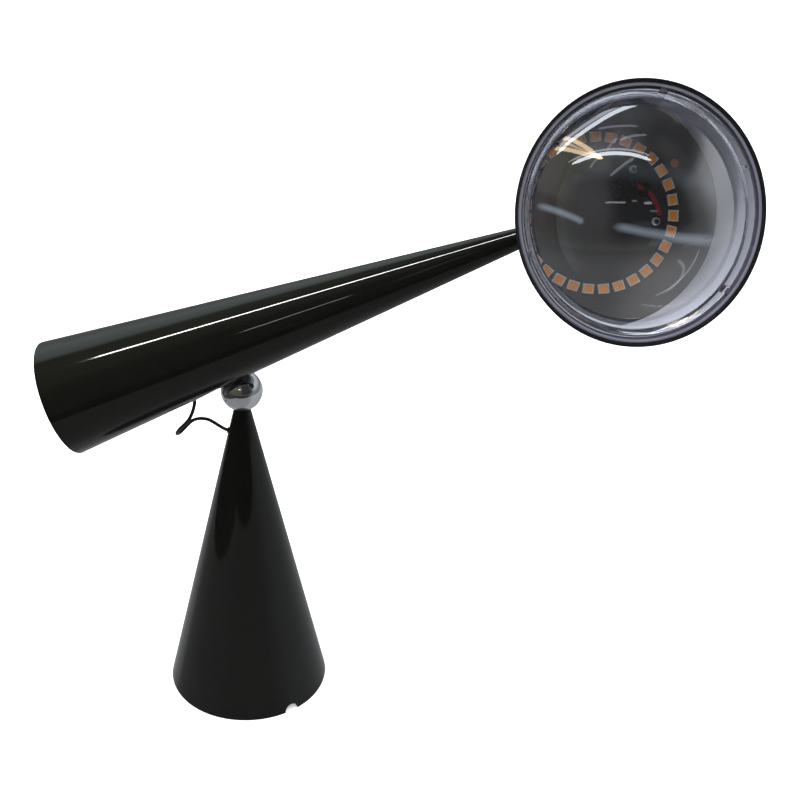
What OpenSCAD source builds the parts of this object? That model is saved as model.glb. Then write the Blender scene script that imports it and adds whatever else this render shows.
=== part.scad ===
// Task lamp made of cones: an upright weighted cone, a ball on its point, a long
// cone that lies across the ball, and a round lens head on a small neck ball.
// Millimetres. The origin is the centre of the underside of the base, +Z is up, and
// the arm lies in the XZ plane with its narrow end and the head towards +X.

/* [Base] */
// Radius of the upright cone at the table
base_r = 65; // [60:1:80]
// Height at which the upright cone would come to a point
base_apex = 289.3; // [270:1:310]
// Height of the cut-off top of the upright cone
base_top = 260.6; // [255:0.2:261]
// Wall of the upright cone
base_wall = 2.6; // [2:0.2:4]
// Height of the cast weight
ballast_h = 36; // [20:1:60]
// Radius of the round-topped notch in the rim
notch_r = 6; // [4:0.5:7]
// Direction of the notch, seen from above
notch_az = -54.7; // [-80:0.1:-40]

/* [Ball] */
// Radius of the chrome ball under the arm
ball_r = 16.3; // [14:0.1:18]
// Height of that ball's centre
ball_z = 276; // [274:0.5:277]

/* [Arm] */
// Slope of the arm above the horizontal
arm_el = 21.8; // [10:0.1:35]
// Radius of the arm's wide end
tail_r = 45.3; // [44:0.1:47]
// Length of the arm's cone from its wide end to its imaginary point
arm_apex = 447.3; // [440:0.1:460]
// Radius at which the narrow end is cut off
tip_r = 3.1; // [3:0.05:3.3]
// Distance from the wide end to the ball, along the arm
arm_ball = 130.7; // [125:0.1:140]
// Distance from the arm's axis to the ball's centre
arm_drop = 44.3; // [44:0.1:45]
// Wall of the arm
arm_wall = 1.6; // [1.2:0.1:2]
// Length of the counterweight inside the arm's wide end
weight_l = 78; // [40:1:80]

/* [Head] */
// Distance from the arm's imaginary point back to the neck ball's centre
neck_back = 17.5; // [17:0.1:18]
// Radius of the neck ball
neck_r = 13; // [12.8:0.1:13.2]
// Turn of the head about the arm's axis
head_swivel = -107.2; // [-180:0.1:180]
// Angle between the arm's axis and the head's axis
head_tilt = 72; // [65:0.5:90]
// Distance from the neck ball's centre to the front rim
rim_z = 88; // [86:0.5:92]
// Radius of the front rim
rim_r = 90.2; // [89:0.1:92]
// Half angle of the shade's cone
shade_a = 24; // [23:0.5:25]
// Height of the lens's dome
dome_h = 30; // [20:1:34]
// Clear radius of the lens
lens_r = 78; // [76:1:79]
// Number of LEDs in the ring
led_n = 31; // [24:1:36]
// Radius of the LED ring
led_ring = 37.4; // [34:0.1:42]
// Size of one LED, across the ring
led_s = 4.8; // [3:0.1:5.4]
// Size of one LED, along the ring
led_w = 5.4; // [3:0.1:6]

/* [Button] */
// Radius of the push button
button_r = 9; // [7:0.5:10]
// Travel of the push button
button_travel = 2.5; // [2:0.5:3]

/* [Hidden] */
$fn = 96;

blk = [0.035, 0.036, 0.033];
chrome = [0.82, 0.83, 0.85];
steel = [0.55, 0.56, 0.58];
alu = [0.72, 0.73, 0.75];
nylon = [0.12, 0.12, 0.13];
white = [0.9, 0.9, 0.88];

// the upright cone's radius at height z
function base_rad(z) = base_r * (base_apex - z) / base_apex;
// the arm's radius at distance t from its wide end
function arm_rad(t) = tail_r * (arm_apex - t) / arm_apex;
tip_t = arm_apex * (1 - tip_r / tail_r);
neck_t = arm_apex - neck_back;
// the shade's outer radius at distance h behind the rim
function shade_rad(h) = rim_r - h * tan(shade_a);
back_h = 62;                       // depth of the board behind the rim
shade_end = 68;                    // depth of the shade's rear edge
lens_h = 8;                        // depth of the lens's front edge
dome_R = (lens_r * lens_r + dome_h * dome_h) / (2 * dome_h);
rod_r = 3;
cord_r = 1.4;

// arm's own frame: origin at the centre of its wide end, +Z towards its point, +X down
module at_arm() {
  translate([0, 0, ball_z]) rotate([0, 90 - arm_el, 0]) translate([-arm_drop, 0, -arm_ball]) children();
}
// ball's frame: +Z square to the arm's axis, up into the arm
module at_ball() {
  translate([0, 0, ball_z]) rotate([0, -arm_el, 0]) children();
}
// neck's frame: origin at the neck ball, +Z along the arm; and the swivelled head's frame
module at_neck() { at_arm() translate([0, 0, neck_t]) children(); }
module at_head() { at_neck() rotate([0, 0, head_swivel]) rotate([0, head_tilt, 0]) children(); }
// face: origin at the centre of the front rim, +Z inwards
module at_face() { at_head() translate([0, 0, rim_z]) rotate([180, 0, 0]) children(); }

module ring(ro, ri, h) { difference() { cylinder(r = ro, h = h); translate([0, 0, -1]) cylinder(r = ri, h = h + 2); } }

// --- swept tube along route points -------------------------------------------
function cat4(a, b, c, d, t) = 0.5 * ((2 * b) + (c - a) * t + (2 * a - 5 * b + 4 * c - d) * t * t + (3 * b - a - 3 * c + d) * t * t * t);
function smooth(p, k) = [for (i = [0 : len(p) - 2]) for (j = [0 : k - 1])
    cat4(p[max(i - 1, 0)], p[i], p[i + 1], p[min(i + 2, len(p) - 1)], j / k), p[len(p) - 1]];
function unit(v) = v / norm(v);
function tangent(p, i) = unit(i == 0 ? p[1] - p[0] : i == len(p) - 1 ? p[i] - p[i - 1] : p[i + 1] - p[i - 1]);
function carry(u, t) = unit(u - (u * t) * t);
function frames(p, u0, i = 0) = i >= len(p) ? [] : let(u = carry(u0, tangent(p, i))) concat([u], frames(p, u, i + 1));
module sweep(p, r, n = 8, up = [0, 1, 0.1]) {
  f = frames(p, up);
  m = len(p);
  pts = [for (i = [0 : m - 1]) let(t = tangent(p, i), u = f[i], v = cross(t, u)) for (k = [0 : n - 1])
      p[i] + r * (cos(360 * k / n) * u + sin(360 * k / n) * v)];
  side = [for (i = [0 : m - 2]) for (k = [0 : n - 1]) let(a = i * n + k, b = i * n + (k + 1) % n) each [[a, b + n, b], [a, a + n, b + n]]];
  ends = [[for (k = [0 : n - 1]) k], [for (k = [n - 1 : -1 : 0]) (m - 1) * n + k]];
  polyhedron(points = pts, faces = concat(side, ends), convexity = 4);
}

// route of the link cord, from the base grommet round its loop to the arm grommet
cord_low = [[-11.9, 0, 240.1], [-14.9, 0.8, 241.2], [-18.6, 2, 243], [-23.6, 4.5, 245], [-27.1, 6, 246], [-31, 7, 246.2],
  [-35.2, 7.6, 245.6], [-39.5, 8, 243.6], [-43.3, 7.9, 240], [-47, 6.4, 236.3], [-49.8, 3.2, 235.2], [-51, -0.6, 236.9]];
cord_up = [[-51, -1.1, 237.2], [-50.2, -4.2, 240.6], [-47.4, -7, 245.8], [-43.6, -8, 250.4], [-40.6, -7, 253.8], [-38.3, -5, 258],
  [-36.8, -2.7, 262.4], [-36.2, -0.8, 265.8], [-36.2, 0, 267.6], [-36.7, 0, 268.9]];

// --- base ---------------------------------------------------------------------
module base_cone() {
  color(blk) difference() {
    translate([0, 0, 0.4]) cylinder(r1 = base_rad(0.4), r2 = base_rad(base_top), h = base_top - 0.4, $fn = 180);
    // hollow, up to the turned top
    translate([0, 0, -1]) cylinder(r1 = base_rad(-1) - base_wall, r2 = base_rad(246) - base_wall, h = 247, $fn = 120);
    translate([0, 0, 240]) cylinder(r = rod_r + 0.1, h = 30);
    translate([0, 0, 256]) cylinder(r = 4.8, h = 10);
    translate([0, 0, ball_z]) sphere(r = ball_r + 0.3);
    // notch for the supply lead
    rotate([0, 0, notch_az]) rotate([0, 90, 0]) translate([0, 0, 40]) cylinder(r = notch_r, h = 40);
    // hole for the link cord's grommet
    translate([-10.5, 0, 240]) rotate([0, -90 + 12.7, 0]) translate([0, 0, -6]) cylinder(r = 2.3, h = 16);
  }
}
module notch_slot(w, r0, z0, z1) { rotate([0, 0, notch_az]) translate([r0, -w / 2, z0]) cube([80, w, z1 - z0]); }
module foot_pad() {
  color([0.06, 0.06, 0.06]) difference() {
    cylinder(r = 60.5, h = 1.2);
    notch_slot(14, 34, -1, 3);
    for (a = [25, 145, 265]) rotate([0, 0, a]) translate([50, 0, -1]) cylinder(r = 4.5, h = 4);
  }
}
module base_plate() {
  color(steel) difference() {
    translate([0, 0, 1.2]) cylinder(r = 61, h = 3.8);
    translate([0, 0, 0]) cylinder(r = rod_r + 0.2, h = 8);
    notch_slot(14, 34, 0, 8);
    for (a = [25, 145, 265]) rotate([0, 0, a]) translate([50, 0, 0]) cylinder(r = 2.2, h = 8);
  }
}
module base_screws() {
  color(steel) for (a = [25, 145, 265]) rotate([0, 0, a]) translate([50, 0, 0]) difference() {
    union() { translate([0, 0, 0.4]) cylinder(r = 3.8, h = 0.8); translate([0, 0, 0.4]) cylinder(r = 2, h = 14.6); }
    translate([0, 0, -0.6]) cylinder(r = 1.5, h = 1.7, $fn = 6);
  }
}
module ballast() {
  color([0.2, 0.2, 0.21]) difference() {
    translate([0, 0, 5]) cylinder(r1 = base_rad(5) - base_wall - 0.8, r2 = base_rad(5 + ballast_h) - base_wall - 0.8, h = ballast_h);
    cylinder(r = rod_r + 0.02, h = 100);
    notch_slot(18, 28, 0, 100);
    for (a = [25, 145, 265]) rotate([0, 0, a]) translate([50, 0, 0]) cylinder(r = 2.05, h = 16);
  }
}
module tie_rod() {
  color(steel) translate([0, 0, 1.6]) cylinder(r = rod_r, h = 285.4 - 0.6);
}
module rod_nut() {
  color(steel) difference() {
    translate([0, 0, 5.02 + ballast_h]) cylinder(r = 5.6, h = 5, $fn = 6);
    translate([0, 0, ballast_h]) cylinder(r = rod_r + 0.02, h = 20);
  }
}
module seat_ring() {
  color(nylon) difference() {
    translate([0, 0, 256]) cylinder(r = 4.75, h = 5);
    translate([0, 0, 250]) cylinder(r = rod_r + 0.15, h = 20);
    translate([0, 0, ball_z]) sphere(r = ball_r + 0.3);
  }
}
module ball_nut() {
  color(steel) difference() {
    translate([0, 0, ball_z + 5.2]) cylinder(r = 5, h = 4.4);
    translate([0, 0, ball_z]) cylinder(r = rod_r + 0.02, h = 20);
  }
}
module wave_washer() { color(steel) translate([0, 0, ball_z + 4.3]) ring(4.8, rod_r + 0.15, 0.8); }
module dc_inlet() {
  color([0.05, 0.05, 0.05]) rotate([0, 0, notch_az]) difference() {
    translate([34, -7, 0.8]) cube([12, 14, 10]);
    translate([38, 0, 3.4]) rotate([0, 90, 0]) cylinder(r = 1.8, h = 10);
  }
}
lead_path = [[-6.2, 0, 238.9], [-5.8, 0, 237.6], [-5.9, 0, 225], [-7, 0, 205], [-8, -2, 170], [-8, -8, 120], [0, -16, 70], [14, -24, 48], [22, -31, 38], [23.4, -33, 24], [23.4, -33, 10.9]];
module base_lead() { color([0.04, 0.04, 0.04]) sweep(smooth(lead_path, 3), cord_r, 8, [0, 1, 0.1]); }
module base_grommet() {
  color(nylon) translate([-10.5, 0, 240]) rotate([0, -90 + 12.7, 0]) difference() {
    union() { translate([0, 0, -3.4]) cylinder(r = 2.25, h = 4.8); translate([0, 0, 0.95]) cylinder(r = 2.7, h = 0.5); }
    translate([0, 0, -6]) cylinder(r = 1.45, h = 12);
  }
}
module link_cord_lower() { color([0.02, 0.02, 0.02]) sweep(smooth(cord_low, 3), cord_r); }
module link_cord_upper() { color([0.02, 0.02, 0.02]) sweep(smooth(cord_up, 3), cord_r); }

// --- ball ---------------------------------------------------------------------
module pivot_ball() {
  color(chrome) difference() {
    translate([0, 0, ball_z]) sphere(r = ball_r, $fn = 128);
    translate([0, 0, ball_z - 30]) cylinder(r = rod_r + 0.05, h = 60);
    translate([0, 0, ball_z + 4]) cylinder(r = 5.3, h = 20);
    // groove over the top, in the plane in which the arm tilts
    at_ball() intersection() {
      rotate([90, 0, 0]) translate([0, 0, -1.3]) difference() { cylinder(r = 20, h = 2.6); translate([0, 0, -1]) cylinder(r = 14.4, h = 5); }
      rotate([0, 4, 0]) translate([-10, -5, 5]) cube([20, 10, 20]);
    }
  }
}

// --- arm ----------------------------------------------------------------------
module arm_cone() {
  color(blk) difference() {
    at_arm() difference() {
      rotate_extrude($fn = 180) polygon([[0, 0.5], [tail_r - 2.2, 0.5], [tail_r - 1.3, 0], [tail_r - 0.6, 0.35], [tail_r - 0.15, 1.1], [arm_rad(2.2), 2.2], [tip_r, tip_t], [0, tip_t]]);
      // hollow for the rear cap, then the long hollow, then the bore for the neck tube
      translate([0, 0, -1]) cylinder(r = tail_r - 2.4, h = 5.6);
      translate([0, 0, 4]) cylinder(r1 = arm_rad(4) - arm_wall, r2 = arm_rad(392) - arm_wall, h = 388);
      translate([0, 0, 380]) cylinder(r = 2, h = 60);
      // grommet hole
      translate([arm_rad(94) - 8, 0, 94]) rotate([0, 90, 0]) cylinder(r = 2.3, h = 16);
    }
    translate([0, 0, ball_z]) sphere(r = ball_r + 1.5);
    at_head() sphere(r = neck_r + 0.3);
  }
}
module socket_cup() {
  color(alu) intersection() {
    at_ball() difference() {
      translate([0, 0, 12]) cylinder(r = 19, h = 18);
      sphere(r = ball_r + 1.5);
      translate([0, 0, 18.4]) cylinder(r = 12.1, h = 20);
      cylinder(r = 3, h = 60);
    }
    at_arm() translate([0, 0, 60]) cylinder(r1 = arm_rad(60) - arm_wall - 0.1, r2 = arm_rad(220) - arm_wall - 0.1, h = 160);
  }
}
module socket_liner() {
  color(nylon) {
    intersection() {
      at_ball() difference() { translate([0, 0, 10]) cylinder(r = 14, h = 12); sphere(r = ball_r + 0.3); }
      at_ball() sphere(r = ball_r + 1.4);
      at_arm() translate([0, 0, 100]) cylinder(r1 = arm_rad(100) - 0.3, r2 = arm_rad(160) - 0.3, h = 60);
    }
    at_ball() {
      // rib that runs in the ball's groove
      intersection() {
        rotate([90, 0, 0]) translate([0, 0, -1.1]) difference() { cylinder(r = ball_r + 0.6, h = 2.2); translate([0, 0, -1]) cylinder(r = 14.75, h = 5); }
        translate([-3.2, -5, 10]) cube([6.4, 10, 8]);
      }
    }
  }
}
module magnet_ring() { color([0.7, 0.7, 0.72]) at_ball() translate([0, 0, 18.45]) ring(12, 5, 4.5); }
module arm_grommet() {
  color(nylon) at_arm() translate([arm_rad(94), 0, 94]) rotate([0, 90, 0]) difference() {
    union() { translate([0, 0, -3]) cylinder(r = 2.25, h = 4); translate([0, 0, 0.6]) cylinder(r = 2.7, h = 0.9); }
    translate([0, 0, -6]) cylinder(r = 1.45, h = 12);
  }
}
module counterweight() {
  color([0.22, 0.22, 0.23]) at_arm() difference() {
    translate([0, 0, 9.5]) cylinder(r1 = arm_rad(9.5) - arm_wall - 0.3, r2 = arm_rad(9.5 + weight_l) - arm_wall - 0.3, h = weight_l);
    translate([0, 0, 0]) cylinder(r = 13.4, h = 120);
  }
}
module driver_board() {
  color([0.05, 0.25, 0.12]) at_arm() translate([-24, -9, 9.55 + weight_l]) union() {
    cube([1.6, 18, 42]);
    translate([1.6, 2, 4]) cube([7, 12, 12]);
    translate([1.6, 3, 22]) cube([5, 9, 14]);
  }
}
module rear_cap() {
  color(blk) at_arm() difference() {
    union() { translate([0, 0, 1]) cylinder(r = tail_r - 2.5, h = 3.4); translate([0, 0, 4.4]) cylinder(r = button_r + 4, h = 4); }
    translate([0, 0, -1]) cylinder(r = button_r + 0.3, h = 12);
  }
}
module push_button() {
  color([0.75, 0.76, 0.78]) at_arm() translate([0, 0, -2.2]) union() {
    cylinder(r1 = button_r - 0.8, r2 = button_r, h = 0.8);
    translate([0, 0, 0.8]) cylinder(r = button_r, h = 8);
    translate([0, 0, 8.8]) cylinder(r = 2, h = 11.2);
  }
}
module switch_body() {
  color([0.1, 0.1, 0.1]) at_arm() difference() {
    union() {
      translate([0, 0, 17]) cylinder(r = 10.2, h = 16);
      // three legs up to the cap's collar
      for (a = [0, 120, 240]) rotate([0, 0, a]) translate([9.6, -1.5, 8.45]) cube([2.4, 3, 9]);
    }
    translate([0, 0, 10]) cylinder(r = 2.4, h = 12);
    translate([0, 0, 4]) cylinder(r = button_r + 0.4, h = 12.4);
  }
}
module button_spring() {
  color(steel) at_arm() sweep([for (i = [0 : 48]) [4.4 * cos(30 * i), 4.4 * sin(30 * i), 7.15 + 9.3 * i / 48]], 0.5, 8, [1, 0, 0]);
}
arm_lead_path = [[32.6, 0, 94], [24, 6, 96], [12, 10, 100], [-4, 12, 104], [-14, 8, 120], [-18, 0, 150], [-16, 0, 200], [-9, 0, 270], [-5, 0, 320], [-2.4, 0, 366], [-0.6, 0, 388], [0, 0, 397]];
module arm_lead() { color([0.04, 0.04, 0.04]) at_arm() sweep(smooth(arm_lead_path, 3), 0.9, 8, [0, 1, 0.1]); }
module neck_tube() { color(steel) at_arm() translate([0, 0, 397]) ring(1.95, 1.1, neck_t - 397 + 1); }

// --- neck ---------------------------------------------------------------------
module neck_ball() {
  color(chrome) difference() {
    at_neck() sphere(r = neck_r, $fn = 128);
    at_neck() translate([0, 0, -20]) cylinder(r = 2.02, h = 22);
    // the leads leave towards the board
    at_head() cylinder(r1 = 2.6, r2 = 5.5, h = 14);
    // two blind holes for the pins that the head tilts on
    at_head() rotate([90, 0, 0]) translate([0, 0, 9.8]) cylinder(r = 2.05, h = 6);
    at_head() rotate([-90, 0, 0]) translate([0, 0, 9.8]) cylinder(r = 2.05, h = 6);
  }
}
module neck_cup() {
  color(alu) at_head() difference() {
    union() { translate([0, 0, 3]) cylinder(r = 14.6, h = 9); translate([0, 0, 12]) cylinder(r = 20, h = 7); }
    sphere(r = neck_r + 0.3);
    cylinder(r = 10.3, h = 60);
    for (a = [45, 135, 225, 315]) rotate([0, 0, a]) translate([17, 0, 14.5]) cylinder(r = 1.3, h = 20);
  }
}
module neck_collar() {
  color([0.05, 0.05, 0.05]) at_head() difference() {
    union() { translate([0, 0, -5]) cylinder(r1 = 16, r2 = 17, h = 1); translate([0, 0, -4]) cylinder(r = 17, h = 15.9); }
    translate([0, 0, 3]) cylinder(r = 14.65, h = 20);
    sphere(r = neck_r + 0.3);
    // slot for the arm's tip
    translate([0, -4.6, -8]) cube([30, 9.2, 10.8]);
    rotate([90, 0, 0]) translate([0, 0, -20]) cylinder(r = 2.02, h = 40);
  }
}
module tilt_pins() {
  color(steel) at_head() for (a = [-90, 90]) rotate([a, 0, 0]) translate([0, 0, 10]) cylinder(r = 2, h = 6.9);
}
module neck_pad() {
  color(nylon) at_head() difference() {
    translate([0, 0, 7]) cylinder(r = 10.2, h = 11.9);
    sphere(r = neck_r + 0.3);
    cylinder(r = 6.7, h = 60);
  }
}

// --- head ---------------------------------------------------------------------
module head_shade() {
  color(blk) at_face() rotate_extrude($fn = 180) polygon([
      [rim_r - 2.4, 0.3], [rim_r - 2, -0.45], [rim_r - 1.1, -0.8], [rim_r - 0.35, -0.55], [rim_r, 0], [rim_r - 0.12, 0.6],
      [shade_rad(2.2), 2.2], [shade_rad(shade_end), shade_end],
      [shade_rad(shade_end) - 2, shade_end], [shade_rad(1.5) - 2, 1.5]]);
}
// places of the three bayonet lugs, and of the end of one lens tab
lug_at = [120, 2, 240.3];
tab_end = 178;
module lens_ring() {
  color([0.3, 0.3, 0.36]) at_face() union() {
    rotate_extrude($fn = 180) polygon([[shade_rad(1.3) - 2.05, 1.3], [87.2, 0.85], [86.3, 0.55], [85.4, 0.85], [85.15, 1.3], [85.05, 3.4], [83.5, 3.4],
        [81.5, 8.3], [80.65, 11.9], [80.65, 12.6], [shade_rad(12.6) - 2.05, 12.6]]);
    // bayonet lugs that hold the lens
    for (a = lug_at) rotate([0, 0, a]) translate([82, -2.2, 1.7]) cube([3.3, 4.4, 1.8]);
  }
}
module lens() {
  color([0.85, 0.9, 0.95, 0.35]) at_face() difference() {
    union() {
      intersection() {
        translate([0, 0, lens_h - dome_h + dome_R]) sphere(r = dome_R, $fn = 180);
        translate([0, 0, lens_h - dome_h - 1]) cylinder(r = 90, h = dome_h + 1);
      }
      translate([0, 0, lens_h]) cylinder(r = lens_r, h = 4, $fn = 180);
      // collar that flares forward to the bayonet edge
      rotate_extrude($fn = 180) polygon([[76.5, 8.2], [78.2, 7.75], [82, 2.2], [82.4, 1.75], [83, 1.75], [83.25, 2.1], [83.2, 3.2],
          [81.3, 8.2], [80.45, 11.8], [80.3, 12], [76.5, 12]]);
    }
    for (a = lug_at) rotate([0, 0, a]) translate([80.9, -3, 0.9]) cube([4, 6, 3.1]);
    rotate([0, 0, tab_end]) translate([82.3, -1.1, 0.9]) cube([4, 2.2, 2.6]);
  }
}
module reflector() {
  color([0.66, 0.67, 0.7]) at_face() rotate_extrude($fn = 120) polygon([[80.2, 12.05], [59.1, 61.95], [58.1, 61.95], [79.2, 12.05]]);
}
module led_board() {
  color([0.03, 0.03, 0.03]) at_face() difference() {
    translate([0, 0, back_h]) cylinder(r = 59.2, h = 1.6);
    // slot where the red wire comes through
    translate([-22, 3, back_h - 1]) cube([10.5, 5.8, 4]);
    for (p = screw_at) translate([p[0], -p[1], back_h - 1]) cylinder(r = 1.35, h = 4);
  }
}
// screws on the board, in the head's frame
screw_at = [[-23.7, -12.2], [-25.6, 15.3]];
module leds() {
  color([1, 0.62, 0.2]) at_face() translate([0.3, -1.35, 0]) for (i = [0 : led_n - 1]) rotate([0, 0, 109.5 + 360 * i / led_n])
    translate([led_ring - led_s / 2, -led_w / 2, back_h - 0.8]) cube([led_s, led_w, 0.8]);
}
module board_screws() {
  color(steel) at_face() for (p = screw_at) translate([p[0], -p[1], back_h]) difference() {
    union() { translate([0, 0, -1.6]) cylinder(r1 = 1.4, r2 = 2, h = 0.7); translate([0, 0, -0.9]) cylinder(r = 2, h = 0.9); cylinder(r = 1.25, h = 5); }
    translate([-1.3, -0.3, -1.7]) cube([2.6, 0.6, 1.1]);
    translate([-0.3, -1.3, -1.7]) cube([0.6, 2.6, 1.1]);
  }
}
module wire_cover() {
  color([0.02, 0.02, 0.02]) at_face() {
    // hood over the slot
    difference() {
      translate([-21.6, 1.6, back_h - 3.6]) cube([11.4, 8.4, 3.6]);
      translate([-23, 2.6, back_h - 2.8]) cube([11.6, 6.4, 4]);
    }
    // strap across the wire
    translate([-25.3, 1.2, back_h - 3.6]) rotate([0, 0, 47.5]) translate([-1.2, -3.2, 0]) difference() {
      cube([2.4, 6.4, 3.6]);
      translate([-1, 1.6, 0.8]) cube([5, 3.2, 4]);
    }
  }
}
red_path = [[3, -1.5, 73], [1.2, -0.6, 69], [-2.6, 1.2, 65.6], [-8, 3.6, 65], [-13, 5.4, 64.9], [-17, 6.3, 63.2], [-20, 6.2, 61.4],
  [-22.2, 4.6, 60.75], [-24.2, 2.4, 60.7], [-26.4, -0.2, 60.7], [-27.9, -4.6, 60.7], [-28.2, -9, 60.7], [-27.8, -13.2, 60.7]];
module red_wire() { color([0.6, 0.02, 0.06]) at_face() sweep(smooth(red_path, 3), 1.2, 8, [0, 1, 0.1]); }
module test_pad() { color([0.7, 0.35, 0.2]) at_face() translate([-43.5, 7.6, back_h - 0.12]) cylinder(r = 2, h = 0.12); }
module heat_sink() {
  color(alu) at_face() difference() {
    union() {
      translate([0, 0, back_h + 1.6]) cylinder(r = 57.5, h = 3.4);
      translate([0, 0, back_h + 5]) cylinder(r = 20, h = rim_z - 19 - back_h - 5);
      for (a = [30, 150, 270]) rotate([0, 0, a]) translate([44, 0, back_h + 5]) cylinder(r = 3.5, h = 3.7);
    }
    translate([0, 0, back_h]) cylinder(r = 6.5, h = 30);
    translate([-22, -1.5, back_h + 1]) cube([22, 10.3, 3.4]);
    for (p = screw_at) translate([p[0], -p[1], back_h]) cylinder(r = 1.3, h = 9);
    for (a = [45, 135, 225, 315]) rotate([0, 0, a]) translate([17, 0, back_h + 1.5]) {
      cylinder(r1 = 2.6, r2 = 1.3, h = 1.3);
      cylinder(r = 1.3, h = 20);
    }
    for (a = [30, 150, 270]) rotate([0, 0, a]) translate([44, 0, 60]) cylinder(r = 1.52, h = 20);
  }
}
module cup_screws() {
  color(steel) at_face() for (a = [45, 135, 225, 315]) rotate([0, 0, a]) translate([17, 0, back_h + 1.65]) difference() {
    union() { cylinder(r1 = 2.45, r2 = 1.28, h = 1.17); cylinder(r = 1.28, h = 9.6); }
    translate([0, 0, -1]) cylinder(r = 0.8, h = 1.8, $fn = 6);
  }
}
module back_cover() {
  color(blk) at_face() difference() {
    rotate_extrude($fn = 180) polygon([[shade_rad(shade_end), shade_end + 0.05], [shade_rad(shade_end) - 0.6, shade_end + 1.4], [shade_rad(shade_end) - 2, shade_end + 2.6], [20.4, 78.6], [19, 79], [17.3, 79],
        [17.3, 76.4], [20.6, 76.4], [shade_rad(shade_end) - 3.4, shade_end + 1.2], [shade_rad(shade_end) - 3.4, shade_end + 0.05]]);
    for (a = [30, 150, 270]) rotate([0, 0, a]) translate([44, 0, 60]) cylinder(r = 1.55, h = 20);
  }
}
module cover_screws() {
  color(steel) at_face() for (a = [30, 150, 270]) rotate([0, 0, a]) translate([44, 0, 0]) difference() {
    union() { translate([0, 0, 74.2]) cylinder(r = 2.6, h = 1.8); translate([0, 0, 64]) cylinder(r = 1.5, h = 10.4); }
    translate([0, 0, 75]) cylinder(r = 1.2, h = 2, $fn = 6);
  }
}

base_cone();
foot_pad();
base_plate();
base_screws();
ballast();
tie_rod();
rod_nut();
seat_ring();
ball_nut();
wave_washer();
dc_inlet();
base_lead();
base_grommet();
link_cord_lower();
pivot_ball();
link_cord_upper();
arm_cone();
socket_cup();
socket_liner();
magnet_ring();
arm_grommet();
counterweight();
driver_board();
rear_cap();
switch_body();
button_spring();
arm_lead();
neck_tube();
push_button();
neck_ball();
head_shade();
lens_ring();
lens();
reflector();
led_board();
leds();
board_screws();
wire_cover();
red_wire();
test_pad();
heat_sink();
cup_screws();
neck_cup();
neck_collar();
tilt_pins();
neck_pad();
back_cover();
cover_screws();
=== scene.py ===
import math
import bpy
import bmesh
from mathutils import Matrix, Vector


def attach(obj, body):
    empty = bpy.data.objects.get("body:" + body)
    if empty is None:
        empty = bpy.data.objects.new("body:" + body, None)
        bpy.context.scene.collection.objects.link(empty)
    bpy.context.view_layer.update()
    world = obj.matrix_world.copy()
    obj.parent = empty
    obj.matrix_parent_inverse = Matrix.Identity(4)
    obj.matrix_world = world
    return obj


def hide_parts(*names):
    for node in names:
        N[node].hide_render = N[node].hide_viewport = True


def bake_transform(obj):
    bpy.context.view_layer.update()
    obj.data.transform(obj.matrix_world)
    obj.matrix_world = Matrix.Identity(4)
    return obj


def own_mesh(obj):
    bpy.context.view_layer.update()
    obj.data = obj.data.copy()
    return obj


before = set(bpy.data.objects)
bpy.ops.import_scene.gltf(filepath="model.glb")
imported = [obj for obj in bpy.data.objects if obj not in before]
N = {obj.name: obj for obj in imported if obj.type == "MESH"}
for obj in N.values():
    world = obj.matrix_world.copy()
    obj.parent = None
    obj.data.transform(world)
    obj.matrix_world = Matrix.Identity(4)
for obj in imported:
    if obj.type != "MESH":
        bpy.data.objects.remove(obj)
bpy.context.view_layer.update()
scene = bpy.context.scene
MM = 0.001

# --- camera -------------------------------------------------------------------
cam_data = bpy.data.cameras.new("camera")
cam_data.lens = 72.0
cam_data.sensor_width = 36.0
cam_data.clip_start = 0.05
cam_data.clip_end = 60.0
cam = bpy.data.objects.new("camera", cam_data)
scene.collection.objects.link(cam)
cam.matrix_world = Matrix((
    (0.99891, -0.00361, -0.04656, 0.06421),
    (-0.03822, 0.50967, -0.85952, -1.06346),
    (0.02684, 0.86036, 0.50898, 0.89749),
    (0.0, 0.0, 0.0, 1.0)))
scene.camera = cam

# --- frames, as in the CAD ------------------------------------------------------
ARM_EL = 21.8
BALL = Vector((0, 0, 276)) * MM


def rot(axis, deg):
    return Matrix.Rotation(math.radians(deg), 4, axis)


def move(x, y, z):
    return Matrix.Translation(Vector((x, y, z)) * MM)


AT_BALL = Matrix.Translation(BALL) @ rot("Y", -ARM_EL)
AT_ARM = Matrix.Translation(BALL) @ rot("Y", 90 - ARM_EL) @ move(-44.3, 0, -130.7)
AT_NECK = AT_ARM @ move(0, 0, 429.8)
AT_HEAD = AT_NECK @ rot("Z", -107.2) @ rot("Y", 72)
AT_FACE = AT_HEAD @ move(0, 0, 88) @ rot("X", 180)


def shade_rad(h):
    return 90.2 - h * math.tan(math.radians(24))


# --- mesh helpers ---------------------------------------------------------------
def finish_mesh(me, angle=35):
    for p in me.polygons:
        p.use_smooth = True
    me.set_sharp_from_angle(angle=math.radians(angle))


def new_object(name, me):
    o = bpy.data.objects.new(name, me)
    scene.collection.objects.link(o)
    return o


def from_bmesh(name, bm, at=None, angle=35):
    bmesh.ops.recalc_face_normals(bm, faces=bm.faces[:])
    me = bpy.data.meshes.new(name)
    bm.to_mesh(me)
    bm.free()
    if at is not None:
        me.transform(at)
    finish_mesh(me, angle)
    return new_object(name, me)


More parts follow.
